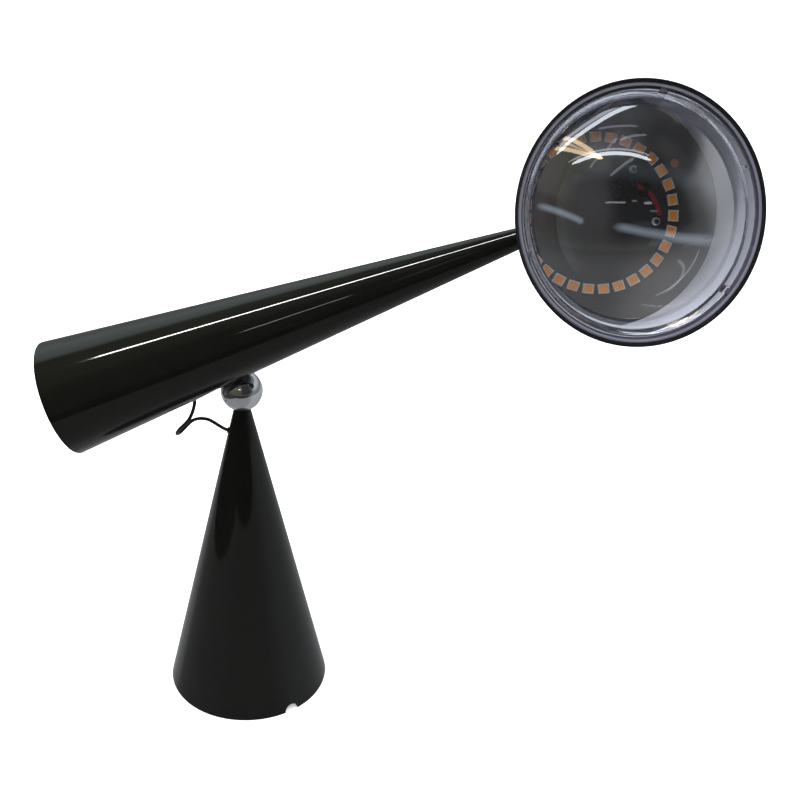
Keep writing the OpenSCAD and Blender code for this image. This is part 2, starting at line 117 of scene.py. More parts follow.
def lathe(bm, profile, segs=192, closed=True, where=None):
    """Turns (radius, height) pairs in mm about Z. A radius of 0 becomes one pole vertex."""
    m = where or Matrix.Identity(4)
    rings = []
    for r, h in profile:
        if r < 1e-6:
            rings.append([bm.verts.new(m @ Vector((0, 0, h * MM)))])
        else:
            rings.append([bm.verts.new(m @ Vector((r * MM * math.cos(2 * math.pi * k / segs), r * MM * math.sin(2 * math.pi * k / segs), h * MM))) for k in range(segs)])
    pairs = list(zip(rings[:-1], rings[1:]))
    if closed:
        pairs.append((rings[-1], rings[0]))
    for a, b in pairs:
        if len(a) == 1 and len(b) == 1:
            continue
        for k in range(segs):
            n = (k + 1) % segs
            if len(a) == 1:
                bm.faces.new((a[0], b[k], b[n]))
            elif len(b) == 1:
                bm.faces.new((a[k], b[0], a[n]))
            else:
                bm.faces.new((a[k], b[k], b[n], a[n]))
    return rings


def lathe_by_angle(bm, profile_at, angles, closed=True):
    """Turns a profile about Z whose (r, h) points may change with the angle in degrees."""
    cols = []
    for a in angles:
        c, s = math.cos(math.radians(a)), math.sin(math.radians(a))
        cols.append([bm.verts.new((r * MM * c, r * MM * s, h * MM)) for r, h in profile_at(a)])
    n = len(cols[0])
    for i in range(len(cols)):
        p, q = cols[i], cols[(i + 1) % len(cols)]
        for k in range(n if closed else n - 1):
            bm.faces.new((p[k], p[(k + 1) % n], q[(k + 1) % n], q[k]))
    return cols


def fillet(points, radii, steps=4):
    """Rounds the corners of a closed (r, h) outline. radii has one value for each point."""
    out = []
    n = len(points)
    for i in range(n):
        p, a, b = Vector(points[i]), Vector(points[i - 1]), Vector(points[(i + 1) % n])
        r = radii[i]
        if r <= 0:
            out.append(tuple(p))
            continue
        u, v = (a - p), (b - p)
        lu, lv = u.length, v.length
        u.normalize()
        v.normalize()
        ang = math.acos(max(-1, min(1, u.dot(v))))
        if abs(math.pi - ang) < 0.02:
            out.append(tuple(p))
            continue
        d = min(r / math.tan(ang / 2), 0.45 * lu, 0.45 * lv)
        rr = d * math.tan(ang / 2)
        mid = (u + v).normalized()
        c = p + mid * (rr / math.sin(ang / 2))
        s, e = p + u * d, p + v * d
        a0 = math.atan2((s - c).y, (s - c).x)
        a1 = math.atan2((e - c).y, (e - c).x)
        da = (a1 - a0 + math.pi) % (2 * math.pi) - math.pi
        for k in range(steps + 1):
            t = a0 + da * k / steps
            out.append((c.x + rr * math.cos(t), c.y + rr * math.sin(t)))
    return out


def rounded_box(bm, sx, sy, sz, at, bevel=0.15, segments=2):
    """A box in mm with rounded edges, its centre at the origin of at."""
    r = bmesh.ops.create_cube(bm, size=1.0, matrix=at @ Matrix.Diagonal((sx * MM, sy * MM, sz * MM, 1)))
    edges = list({e for v in r["verts"] for e in v.link_edges})
    bmesh.ops.bevel(bm, geom=edges, offset=bevel * MM, segments=segments, affect="EDGES", profile=0.5)


def tube(name, points, radius, sides=16, caps=True):
    """A round tube along points, which are already close together. Returns a mesh object."""
    pts = [Vector(p) for p in points]
    bm = bmesh.new()
    u = None
    rings = []
    for i, p in enumerate(pts):
        t = (pts[min(i + 1, len(pts) - 1)] - pts[max(i - 1, 0)]).normalized()
        if u is None:
            u = t.cross(Vector((0.1, 0.3, 1))).normalized()
        u = (u - t * u.dot(t)).normalized()
        v = t.cross(u)
        rings.append([bm.verts.new(p + radius * (math.cos(2 * math.pi * k / sides) * u + math.sin(2 * math.pi * k / sides) * v)) for k in range(sides)])
    for a, b in zip(rings[:-1], rings[1:]):
        for k in range(sides):
            n = (k + 1) % sides
            bm.faces.new((a[k], b[k], b[n], a[n]))
    if caps:
        bm.faces.new(rings[0])
        bm.faces.new(rings[-1])
    return from_bmesh(name, bm, None, 60)


def spline(points, per=8):
    """Catmull-Rom through points."""
    P = [Vector(p) for p in points]
    out = []
    for i in range(len(P) - 1):
        a, b, c, d = P[max(i - 1, 0)], P[i], P[i + 1], P[min(i + 2, len(P) - 1)]
        for j in range(per):
            t = j / per
            out.append(0.5 * ((2 * b) + (c - a) * t + (2 * a - 5 * b + 4 * c - d) * t * t + (3 * b - a - 3 * c + d) * t ** 3))
    out.append(P[-1])
    return out


# --- link cord: camera and cords come first -------------------------------------
cord_low = [(-11.9, 0, 240.1), (-14.9, 0.8, 241.2), (-18.6, 2, 243), (-23.6, 4.5, 245), (-27.1, 6, 246), (-31, 7, 246.2),
            (-35.2, 7.6, 245.6), (-39.5, 8, 243.6), (-43.3, 7.9, 240), (-47, 6.4, 236.3), (-49.8, 3.2, 235.2), (-51, -0.6, 236.9)]
cord_up = [(-51, -0.6, 236.9), (-50.2, -4.2, 240.6), (-47.4, -7, 245.8), (-43.6, -8, 250.4), (-40.6, -7, 253.8), (-38.3, -5, 258),
           (-36.8, -2.7, 262.4), (-36.2, -0.8, 265.8), (-36.2, 0, 267.6), (-36.7, 0, 268.9)]
low_path = spline([Vector(p) * MM for p in cord_low], 6)
up_path = spline([Vector(p) * MM for p in cord_up], 6)
low_cord = tube("link_cord_a", low_path, 1.4 * MM, 20)
up_cord = tube("link_cord_b", up_path, 1.4 * MM, 20)
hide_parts("link_cord_lower")
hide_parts("link_cord_upper")

# --- materials ------------------------------------------------------------------
def material(name):
    m = bpy.data.materials.new(name)
    m.use_nodes = True
    t = m.node_tree
    t.nodes.clear()
    out = t.nodes.new("ShaderNodeOutputMaterial")
    b = t.nodes.new("ShaderNodeBsdfPrincipled")
    t.links.new(b.outputs[0], out.inputs[0])
    return m, t, b, out


def noise(t, scale, detail=3, rough=0.5, vec=None, dist=0.0):
    n = t.nodes.new("ShaderNodeTexNoise")
    n.inputs["Scale"].default_value = scale
    n.inputs["Detail"].default_value = detail
    n.inputs["Roughness"].default_value = rough
    n.inputs["Distortion"].default_value = dist
    if vec is not None:
        t.links.new(vec, n.inputs["Vector"])
    return n


def coords(t):
    return t.nodes.new("ShaderNodeTexCoord").outputs["Object"]


def ramp(t, fac, stops):
    r = t.nodes.new("ShaderNodeValToRGB")
    el = r.color_ramp.elements
    while len(el) > 2:
        el.remove(el[-1])
    for i, (p, c) in enumerate(stops):
        e = el[i] if i < 2 else el.new(p)
        e.position = p
        e.color = c if len(c) == 4 else (*c, 1)
    t.links.new(fac, r.inputs[0])
    return r.outputs[0]


def remap(t, val, a, b, lo, hi):
    n = t.nodes.new("ShaderNodeMapRange")
    for i, v in zip(("From Min", "From Max", "To Min", "To Max"), (a, b, lo, hi)):
        n.inputs[i].default_value = v
    t.links.new(val, n.inputs["Value"])
    return n.outputs[0]


def bump(t, b, height, strength, distance):
    n = t.nodes.new("ShaderNodeBump")
    n.inputs["Strength"].default_value = strength
    n.inputs["Distance"].default_value = distance
    t.links.new(height, n.inputs["Height"])
    t.links.new(n.outputs[0], b.inputs["Normal"])


def lacquer(name, base, r_lo, r_hi, peel=0.00002, coat=0.0):
    """Gloss paint: deep colour, faint orange peel, a little dust and handling haze in the gloss."""
    m, t, b, out = material(name)
    c = coords(t)
    haze = noise(t, 22, 5, 0.62, c, 0.4)
    fine = noise(t, 900, 2, 0.5, c)
    col = ramp(t, haze.outputs[0], [(0.3, tuple(v * 0.88 for v in base)), (0.75, tuple(v * 1.15 for v in base))])
    t.links.new(col, b.inputs["Base Color"])
    t.links.new(remap(t, haze.outputs[0], 0.35, 0.75, r_lo, r_hi), b.inputs["Roughness"])
    b.inputs["IOR"].default_value = 1.45
    b.inputs["Coat Weight"].default_value = coat
    b.inputs["Coat Roughness"].default_value = 0.02
    bump(t, b, fine.outputs[0], 0.25, peel)
    return m


def plain(name, base, rough, metal=0.0, scale=300, depth=0.00005, var=0.12, rvar=0.08):
    """Moulded or machined surface with fine grain in colour, roughness and bump."""
    m, t, b, out = material(name)
    c = coords(t)
    big = noise(t, 30, 4, 0.6, c)
    fine = noise(t, scale, 3, 0.6, c)
    col = ramp(t, big.outputs[0], [(0.3, tuple(v * (1 - var) for v in base)), (0.7, tuple(min(1, v * (1 + var)) for v in base))])
    t.links.new(col, b.inputs["Base Color"])
    t.links.new(remap(t, fine.outputs[0], 0.3, 0.7, max(0.02, rough - rvar), rough + rvar), b.inputs["Roughness"])
    b.inputs["Metallic"].default_value = metal
    bump(t, b, fine.outputs[0], 0.4, depth)
    return m


def turned(name, base, rough, at, depth=0.00003):
    """Turned metal: fine rings about the Z axis of at."""
    m, t, b, out = material(name)
    g = t.nodes.new("ShaderNodeTexCoord").outputs["Object"]
    inv = at.inverted()
    mp = t.nodes.new("ShaderNodeMapping")
    mp.inputs["Location"].default_value = inv.to_translation()
    mp.inputs["Rotation"].default_value = inv.to_euler()
    t.links.new(g, mp.inputs[0])
    w = t.nodes.new("ShaderNodeTexWave")
    w.wave_type = "RINGS"
    w.rings_direction = "Z"
    w.inputs["Scale"].default_value = 900
    w.inputs["Distortion"].default_value = 0.6
    t.links.new(mp.outputs[0], w.inputs["Vector"])
    t.links.new(remap(t, w.outputs[1], 0, 1, rough - 0.06, rough + 0.06), b.inputs["Roughness"])
    n = noise(t, 60, 3, 0.5, g)
    t.links.new(ramp(t, n.outputs[0], [(0.3, tuple(v * 0.92 for v in base)), (0.7, base)]), b.inputs["Base Color"])
    b.inputs["Metallic"].default_value = 1.0
    bump(t, b, w.outputs[1], 0.2, depth)
    return m


mat_lacquer = lacquer("black_lacquer", (0.0031, 0.0031, 0.0027), 0.02, 0.06)
mat_head = lacquer("black_head", (0.006, 0.006, 0.007), 0.05, 0.11, 0.00003)
mat_chrome, tc, bc, _ = material("chrome")
cc = coords(tc)
n1 = noise(tc, 45, 4, 0.6, cc)
tc.links.new(remap(tc, n1.outputs[0], 0.35, 0.8, 0.012, 0.05), bc.inputs["Roughness"])
tc.links.new(ramp(tc, n1.outputs[0], [(0.3, (0.86, 0.88, 0.91)), (0.7, (0.93, 0.94, 0.95))]), bc.inputs["Base Color"])
bc.inputs["Metallic"].default_value = 1.0
mat_pad = plain("pad_rubber", (0.02, 0.02, 0.02), 0.75, 0, 700, 0.0002)
mat_steel = plain("zinc_steel", (0.48, 0.49, 0.5), 0.3, 1.0, 500, 0.00003)
mat_iron = plain("cast_iron", (0.06, 0.06, 0.063), 0.6, 0.6, 250, 0.0004)
mat_nylon = plain("black_nylon", (0.012, 0.012, 0.013), 0.42, 0, 600, 0.00006)
mat_cord = plain("cord_jacket", (0.008, 0.008, 0.0085), 0.36, 0, 900, 0.00004)
mat_alu = plain("turned_aluminium", (0.62, 0.63, 0.65), 0.28, 1.0, 500, 0.00003)
mat_magnet = plain("magnet_nickel", (0.5, 0.5, 0.52), 0.18, 1.0, 400, 0.00002)
mat_driver = plain("driver_green", (0.01, 0.07, 0.03), 0.35, 0, 500, 0.00005)
mat_button = turned("button_metal", (0.7, 0.71, 0.73), 0.24, AT_ARM)
mat_ring = lacquer("lens_ring_grey", (0.13, 0.13, 0.16), 0.16, 0.26, 0.00002)
mat_seat = plain("lens_seat_grey", (0.5, 0.51, 0.56), 0.35, 0, 60, 0.00001, 0.04, 0.04)
# groove: the ring's grey made darker, painted shade for the deep gap between the ring and the lens collar
mat_groove_painted_shade = lacquer("lens_ring_groove_painted_shade", (0.055, 0.055, 0.075), 0.2, 0.3, 0.00002)
mat_reflector = plain("reflector_grey", (0.62, 0.63, 0.69), 0.42, 0, 40, 0.000004, 0.03, 0.03)
mat_led_frame = plain("led_frame", (0.62, 0.61, 0.54), 0.35, 0, 900, 0.00003)
mat_led = plain("led_phosphor", (0.92, 0.33, 0.05), 0.4, 0, 2500, 0.00006, 0.12)
mat_screw = plain("screw_bright", (0.78, 0.79, 0.8), 0.34, 0.7, 900, 0.00003)
# screw tops: the screw metal darkened on the flat head tops, painted shade that leaves the chamfered sides reading as a
# lit ring
mat_screw_top_painted_shade = plain("screw_top_painted_shade", (0.24, 0.24, 0.25), 0.3, 0.6, 900, 0.00003)
# screw recess: near black in the cross recesses, painted shade
mat_recess_painted_shade = plain("screw_recess_painted_shade", (0.02, 0.02, 0.022), 0.4, 0, 900, 0.00003)
mat_cover = plain("cover_black", (0.006, 0.006, 0.006), 0.22, 0, 700, 0.00005)
mat_red = plain("red_jacket", (0.22, 0.005, 0.018), 0.35, 0, 800, 0.00005)
mat_copper = plain("copper_pad", (0.42, 0.15, 0.08), 0.4, 1.0, 600, 0.00003)

# board: dark solder mask with faint tone variation
mat_board, tb, bb, _ = material("board_mask")
cb = coords(tb)
nb = noise(tb, 70, 4, 0.6, cb)
fb = noise(tb, 1400, 2, 0.5, cb)
tb.links.new(ramp(tb, nb.outputs[0], [(0.3, (0.010, 0.010, 0.010)), (0.7, (0.014, 0.014, 0.014))]), bb.inputs["Base Color"])
tb.links.new(remap(tb, fb.outputs[0], 0.3, 0.7, 0.6, 0.72), bb.inputs["Roughness"])
bump(tb, bb, fb.outputs[0], 0.3, 0.00002)

# lens: clear acrylic that lets lamps through to what is behind it
mat_lens = bpy.data.materials.new("lens_acrylic")
mat_lens.use_nodes = True
tl = mat_lens.node_tree
tl.nodes.clear()
ol = tl.nodes.new("ShaderNodeOutputMaterial")
gl = tl.nodes.new("ShaderNodeBsdfGlass")
gl.inputs["Color"].default_value = (0.985, 0.99, 1.0, 1)
gl.inputs["Roughness"].default_value = 0.0
gl.inputs["IOR"].default_value = 1.49
tr = tl.nodes.new("ShaderNodeBsdfTransparent")
tr.inputs["Color"].default_value = (0.97, 0.98, 1.0, 1)
sheen = tl.nodes.new("ShaderNodeBsdfGlossy")
sheen.inputs["Color"].default_value = (1, 1, 1, 1)
sheen.inputs["Roughness"].default_value = 0.0
side = tl.nodes.new("ShaderNodeNewGeometry")
front_only = remap(tl, side.outputs["Backfacing"], 0, 1, 0.2, 0.0)
body = tl.nodes.new("ShaderNodeMixShader")
tl.links.new(front_only, body.inputs[0])
tl.links.new(gl.outputs[0], body.inputs[1])
tl.links.new(sheen.outputs[0], body.inputs[2])
lp = tl.nodes.new("ShaderNodeLightPath")
mx = tl.nodes.new("ShaderNodeMixShader")
tl.links.new(lp.outputs["Is Shadow Ray"], mx.inputs[0])
tl.links.new(body.outputs[0], mx.inputs[1])
tl.links.new(tr.outputs[0], mx.inputs[2])
tl.links.new(mx.outputs[0], ol.inputs[0])
nl = noise(tl, 14, 2, 0.5, coords(tl))
bl = tl.nodes.new("ShaderNodeBump")
bl.inputs["Strength"].default_value = 0.05
bl.inputs["Distance"].default_value = 0.00001
tl.links.new(nl.outputs[0], bl.inputs["Height"])
tl.links.new(bl.outputs[0], gl.inputs["Normal"])
tl.links.new(bl.outputs[0], sheen.inputs["Normal"])


def paint(o, mat):
    o.data.materials.clear()
    o.data.materials.append(mat)


for mat, names in {
    mat_lacquer: ("base_cone", "arm_cone", "rear_cap"),
    mat_head: ("head_shade", "back_cover", "neck_collar"),
    mat_chrome: ("pivot_ball", "neck_ball"),
    mat_pad: ("foot_pad",),
    mat_steel: ("base_plate", "base_screws", "tie_rod", "rod_nut", "ball_nut", "wave_washer", "button_spring", "neck_tube", "cover_screws", "cup_screws"),
    mat_iron: ("ballast", "counterweight"),
    mat_nylon: ("seat_ring", "socket_liner", "base_grommet", "arm_grommet", "neck_pad", "dc_inlet", "switch_body"),
    mat_cord: ("base_lead", "arm_lead"),
    mat_alu: ("socket_cup", "heat_sink", "neck_cup"),
    mat_magnet: ("magnet_ring",),
    mat_driver: ("driver_board",),
    mat_button: ("push_button",),
    mat_copper: ("test_pad",),
}.items():
    for n in names:
        paint(N[n], mat)
for o in (low_cord, up_cord):
    paint(o, mat_cord)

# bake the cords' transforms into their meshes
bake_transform(low_cord)
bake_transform(up_cord)

# a copy of the button spring, on the arm body with its own mesh
coil = bpy.data.objects.new("spring_coil", N["button_spring"].data.copy())
coil.matrix_world = N["button_spring"].matrix_world.copy()
bpy.context.scene.collection.objects.link(coil)
paint(coil, mat_steel)
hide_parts("button_spring")
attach(coil, "arm")
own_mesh(coil)

# --- head -----------------------------------------------------------------------
# lens: dome, flat back, and a collar that flares forward to a notched edge
LENS_R, LENS_H, DOME = 78.0, 8.0, 30.0
dome_R = (LENS_R ** 2 + DOME ** 2) / (2 * DOME)
LUGS, TAB_END = (120.0, 2.0, 240.3), 178.0
amax = math.asin(77.2 / dome_R)
dome_arc = [(dome_R * math.sin(amax * k / 96), LENS_H - DOME + dome_R * (1 - math.cos(amax * k / 96))) for k in range(1, 97)]
collar = fillet([(77.2, dome_arc[-1][1]), (78.25, 7.7), (82.0, 2.2), (82.4, 1.75), (83.0, 1.75), (83.25, 2.1), (83.2, 3.2), (81.3, 8.2), (80.45, 11.8), (80.3, 12.0)],
                [0, 0.5, 0.3, 0.2, 0.2, 0.2, 0.3, 0.3, 0.1, 0.1], 3)[1:]


def near(a, centre):
    return (a - centre + 180) % 360 - 180


def edge_angles(step=1.0, marks=()):
    out = [k * step for k in range(int(360 / step))]
    for m, half in marks:
        out = [a for a in out if abs(near(a, m)) > half + 0.12]
        out += [(m + d) % 360 for d in (-half - 0.06, -half + 0.06, -half / 2, 0, half / 2, half - 0.06, half + 0.06)]
    return sorted(out)


NOTCH = math.degrees(3.0 / 82.5)
TAB = math.degrees(1.1 / 82.5)


def collar_at(a):
    cut = any(abs(near(a, m)) < NOTCH for m in LUGS)
    step = abs(near(a, TAB_END)) < TAB
    out = []
    for r, h in collar:
        if cut and r > 80.9 and h < 4.0:
            r, h = min(r, 81.4), 4.0 + 0.001 * (4.0 - h)
        elif step and r > 82.3 and h < 3.5:
            r = 82.3 + 0.02 * (r - 82.3)
        out.append((r, h))
    return out


bm = bmesh.new()
angles = edge_angles(1.0, [(m, NOTCH) for m in LUGS] + [(TAB_END, TAB)])
cols = lathe_by_angle(bm, lambda a: dome_arc + collar_at(a) + [(r, 12.0) for r in (72, 60, 45, 30, 15)], angles, closed=False)
top = bm.verts.new((0, 0, (LENS_H - DOME) * MM))
bottom = bm.verts.new((0, 0, 12.0 * MM))
for i in range(len(cols)):
    p, q = cols[i], cols[(i + 1) % len(cols)]
    bm.faces.new((top, p[0], q[0]))
    bm.faces.new((bottom, q[-1], p[-1]))
lens = from_bmesh("lens_body", bm, AT_FACE, 28)
paint(lens, mat_lens)
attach(lens, "head")
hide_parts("lens")

# lens ring: crowned front band, deep groove, seat for the lens collar
ring_prof = [(shade_rad(1.3) - 2.05, 1.3), (87.25, 0.85), (86.3, 0.55), (85.4, 0.8), (85.15, 1.3), (85.05, 3.4), (83.5, 3.4),
             (81.5, 8.3), (80.65, 11.9), (80.65, 12.6), (shade_rad(12.6) - 2.05, 12.6)]
ring_prof = fillet(ring_prof, [0.2, 0.4, 1.2, 0.4, 0.2, 0.25, 0.2, 0.3, 0.1, 0.1, 0.1], 4)
bm = bmesh.new()
lathe(bm, ring_prof, 384)
for m in LUGS:
    rounded_box(bm, 3.4, 4.4, 1.8, rot("Z", m) @ move(83.7, 0, 2.6), 0.2, 2)
lens_ring = from_bmesh("lens_ring_body", bm, AT_FACE, 40)
paint(lens_ring, mat_ring)
lens_ring.data.materials.append(mat_groove_painted_shade)
lens_ring.data.materials.append(mat_seat)
to_face = AT_FACE.inverted()
# faces in the groove take the darker groove colour (painted shade); faces of the seat take the pale seat grey
for f in lens_ring.data.polygons:
    c = to_face @ (lens_ring.matrix_world @ f.center)
    r, h = math.hypot(c.x, c.y) / MM, c.z / MM
    if r < 83.55 and h > 3.3:
        f.material_index = 2
    elif r < 85.2 and h > 1.5:
        f.material_index = 1
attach(lens_ring, "head")
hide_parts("lens_ring")

# reflector wall
bm = bmesh.new()
lathe(bm, fillet([(80.2, 12.05), (59.1, 61.95), (58.1, 61.95), (79.2, 12.05)], [0.2, 0.2, 0.2, 0.2], 2), 256)
reflector = from_bmesh("reflector_body", bm, AT_FACE, 40)
paint(reflector, mat_reflector)
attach(reflector, "head")
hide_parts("reflector")

# board
BACK = 62.0
board = N["led_board"]
paint(board, mat_board)

# LEDs: pale frame with a sunk window of phosphor
LED_N, LED_RING, LED_S, LED_W = 31, 37.4, 4.8, 5.4
bm_f, bm_p = bmesh.new(), bmesh.new()
for i in range(LED_N):
    at = AT_FACE @ move(0.3, -1.35, 0) @ rot("Z", 109.5 + 360 * i / LED_N) @ move(LED_RING, 0, BACK)
    # frame: four rounded bars round the window, on a base
    s, l, w = LED_S, LED_W, 0.55
    rounded_box(bm_f, s, w, 0.8, at @ move(0, (l - w) / 2, -0.4), 0.12)
    rounded_box(bm_f, s, w, 0.8, at @ move(0, -(l - w) / 2, -0.4), 0.12)
    rounded_box(bm_f, w, l - w, 0.8, at @ move((s - w) / 2, 0, -0.4), 0.12)
    rounded_box(bm_f, w, l - w, 0.8, at @ move(-(s - w) / 2, 0, -0.4), 0.12)
    rounded_box(bm_p, s - 2 * w + 0.1, l - 2 * w + 0.1, 0.66, at @ move(0, 0, -0.33), 0.08)
leds = from_bmesh("led_frames", bm_f, None, 30)
paint(leds, mat_led_frame)
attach(leds, "head")
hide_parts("leds")
phos = from_bmesh("led_windows", bm_p, None, 30)
paint(phos, mat_led)
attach(phos, "head")

# red wire
red_path = [(3, -1.5, 73), (1.2, -0.6, 69), (-2.6, 1.2, 65.6), (-8, 3.6, 65), (-13, 5.4, 64.9), (-17, 6.3, 63.2), (-20, 6.2, 61.4),
            (-22.2, 4.6, 60.75), (-24.2, 2.4, 60.7), (-26.4, -0.2, 60.7), (-27.9, -4.6, 60.7), (-28.2, -9, 60.7), (-27.8, -13.2, 60.7)]
red_pts = spline([AT_FACE @ (Vector(p) * MM) for p in red_path], 6)
red = tube("red_lead", red_pts, 1.2 * MM, 16)
paint(red, mat_red)
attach(red, "head")
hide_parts("red_wire")

# wire cover and board screws keep the CAD shape
paint(N["wire_cover"], mat_cover)
paint(N["board_screws"], mat_screw)
N["board_screws"].data.materials.append(mat_screw_top_painted_shade)
N["board_screws"].data.materials.append(mat_recess_painted_shade)
to_face = AT_FACE.inverted() @ N["board_screws"].matrix_world
head_top = min((to_face @ v.co).z for v in N["board_screws"].data.vertices) / MM
for f in N["board_screws"].data.polygons:
    c = (to_face @ f.center) / MM
    off = min((c.xy - Vector(a)).length for a in ((-23.7, 12.2), (-25.6, -15.3)))
    # the flat head tops: the darkened screw metal, painted shade
    if off < 1.42 and c.z < head_top + 0.04:
        f.material_index = 1
    # the cross recesses: near black, painted shade
    elif off < 1.32 and c.z < head_top + 1.2:
        f.material_index = 2

# --- floor, light and world -------------------------------------------------------
bm = bmesh.new()
bmesh.ops.create_grid(bm, x_segments=2, y_segments=2, size=6.0)
floor = from_bmesh("floor", bm, Matrix.Translation((0, 3.0, 0)), 40)
mat_floor, tf, bf, _ = material("pale_floor")
nf = noise(tf, 3, 3, 0.5, coords(tf))
tf.links.new(ramp(tf, nf.outputs[0], [(0.3, (0.86, 0.86, 0.86)), (0.7, (0.88, 0.88, 0.88))]), bf.inputs["Base Color"])
bf.inputs["Roughness"].default_value = 0.9
bf.inputs["Emission Color"].default_value = (1, 1, 1, 1)
bf.inputs["Emission Strength"].default_value = 0.5
paint(floor, mat_floor)
floor.visible_glossy = False
floor.visible_transmission = False


def area(name, loc, look, size, power, color=(1, 1, 1), glossy=True, shape="RECTANGLE"):
    d = bpy.data.lights.new(name, "AREA")
    d.shape = shape
    d.size, d.size_y = size
    d.energy = power
    d.color = color
    o = bpy.data.objects.new(name, d)
    scene.collection.objects.link(o)
    o.location = loc
    o.rotation_euler = (Vector(look) - Vector(loc)).to_track_quat("-Z", "Y").to_euler()
    o.visible_glossy = glossy
    o.visible_camera = False
    return o


area("overhead", (0.0, 0.2, 3.2), (0.0, 0.2, 0), (5, 5), 330, (1, 1, 1), glossy=False).visible_transmission = False

# a long tube lamp over the arm, and two small ones in front
area("tube_main", (-0.66, -0.25, 2.2), (-0.66, -0.25, 0), (1.05, 0.085), 18.0, (0.97, 0.985, 1.0))
area("tube_front_a", (-0.387, -1.97, 1.5), (0.05, 0, 0.33), (0.265, 0.05), 0.33, (1, 1, 0.97))
area("tube_front_b", (-0.06, -1.84, 1.5), (0.2, 0, 0.38), (0.06, 0.4), 0.05, (1, 1, 1))

# a sheet of pale paper that only the gloss sees
bm = bmesh.new()
bmesh.ops.create_grid(bm, x_segments=2, y_segments=2, size=0.5)
paper = from_bmesh("paper", bm, Matrix.Translation((0.36, 0.15, -0.003)) @ Matrix.Diagonal((1.68, 2.3, 1, 1)), 40)
mat_paper = bpy.data.materials.new("paper_card")
mat_paper.use_nodes = True
tp = mat_paper.node_tree
tp.nodes.clear()
op = tp.nodes.new("ShaderNodeOutputMaterial")
ep = tp.nodes.new("ShaderNodeEmission")
np_ = noise(tp, 2.5, 3, 0.5, coords(tp))
tp.links.new(ramp(tp, np_.outputs[0], [(0.3, (0.185, 0.19, 0.19)), (0.7, (0.2, 0.205, 0.21))]), ep.inputs[0])
through = tp.nodes.new("ShaderNodeBsdfTransparent")
both = tp.nodes.new("ShaderNodeAddShader")
tp.links.new(ep.outputs[0], both.inputs[0])
tp.links.new(through.outputs[0], both.inputs[1])
tp.links.new(both.outputs[0], op.inputs[0])
paint(paper, mat_paper)
paper.visible_camera = False
paper.visible_diffuse = False
paper.visible_shadow = False
paper.visible_transmission = False

# the lens mirrors its own set of lamps instead of these
no_lens = bpy.data.collections.new("no_lens")
no_lens.objects.link(lens)
no_lens.collection_objects[0].light_linking.link_state = "EXCLUDE"
for o in (paper, bpy.data.objects["tube_main"], bpy.data.objects["tube_front_a"], bpy.data.objects["tube_front_b"]):
    o.light_linking.receiver_collection = no_lens

# what the clear lens mirrors: the room's ceiling lamps and its pale walls. Only the lens and its ring are lit by them.
HEAD = Vector((0.277, -0.08, 0.461))
lens_only = bpy.data.collections.new("lens_only")
for o in (lens, lens_ring):
    lens_only.objects.link(o)


def glow_material(name, color, strength, soft):
    m = bpy.data.materials.new(name)
    m.use_nodes = True
    t = m.node_tree
    t.nodes.clear()
    out = t.nodes.new("ShaderNodeOutputMaterial")
    add = t.nodes.new("ShaderNodeAddShader")
    clear = t.nodes.new("ShaderNodeBsdfTransparent")
    e = t.nodes.new("ShaderNodeEmission")
    e.inputs[0].default_value = (*color, 1)
    if soft:
        a = t.nodes.new("ShaderNodeAttribute")
        a.attribute_name = "glow"
        mul = t.nodes.new("ShaderNodeMath")
        mul.operation = "MULTIPLY"
        mul.inputs[1].default_value = strength
        t.links.new(a.outputs["Fac"], mul.inputs[0])
        t.links.new(mul.outputs[0], e.inputs[1])
    else:
        e.inputs[1].default_value = strength
    t.links.new(clear.outputs[0], add.inputs[0])
    t.links.new(e.outputs[0], add.inputs[1])
    t.links.new(add.outputs[0], out.inputs[0])
    m.cycles.emission_sampling = "NONE"
    return m


def only_in_lens(o):
    o.visible_camera = False
    o.visible_diffuse = False
    o.visible_shadow = False
    o.visible_transmission = True
    o.light_linking.receiver_collection = lens_only


def ribbon(name, points, width, color, strength, soft=False, taper=0.12):
    """A thin lamp along points, turned towards the head. A soft one fades to its edges."""
    pts = spline([Vector(p) for p in points], 6)
    bm = bmesh.new()
    rows = []
    for i, p in enumerate(pts):
        t = (pts[min(i + 1, len(pts) - 1)] - pts[max(i - 1, 0)]).normalized()
        side = t.cross((HEAD - p).normalized()).normalized()
        u = i / (len(pts) - 1)
        w = width * min(1, 0.25 + u / taper, 0.25 + (1 - u) / taper)
        rows.append([bm.verts.new(p + side * (w * k / 2)) for k in (-1, -0.5, 0, 0.5, 1)])
    for a, b in zip(rows[:-1], rows[1:]):
        for k in range(4):
            bm.faces.new((a[k], a[k + 1], b[k + 1], b[k]))
    o = from_bmesh(name, bm, None, 60)
    at = o.data.attributes.new("glow", "FLOAT", "POINT")
    n = len(rows)
    for i in range(n):
        u = i / (n - 1)
        end = min(1, u / 0.15, (1 - u) / 0.15)
        for k, v in enumerate((0, 0.6, 1, 0.6, 0)):
            at.data[i * 5 + k].value = v * end
    paint(o, glow_material(name + "_glow", color, strength, soft))
    only_in_lens(o)
    return o


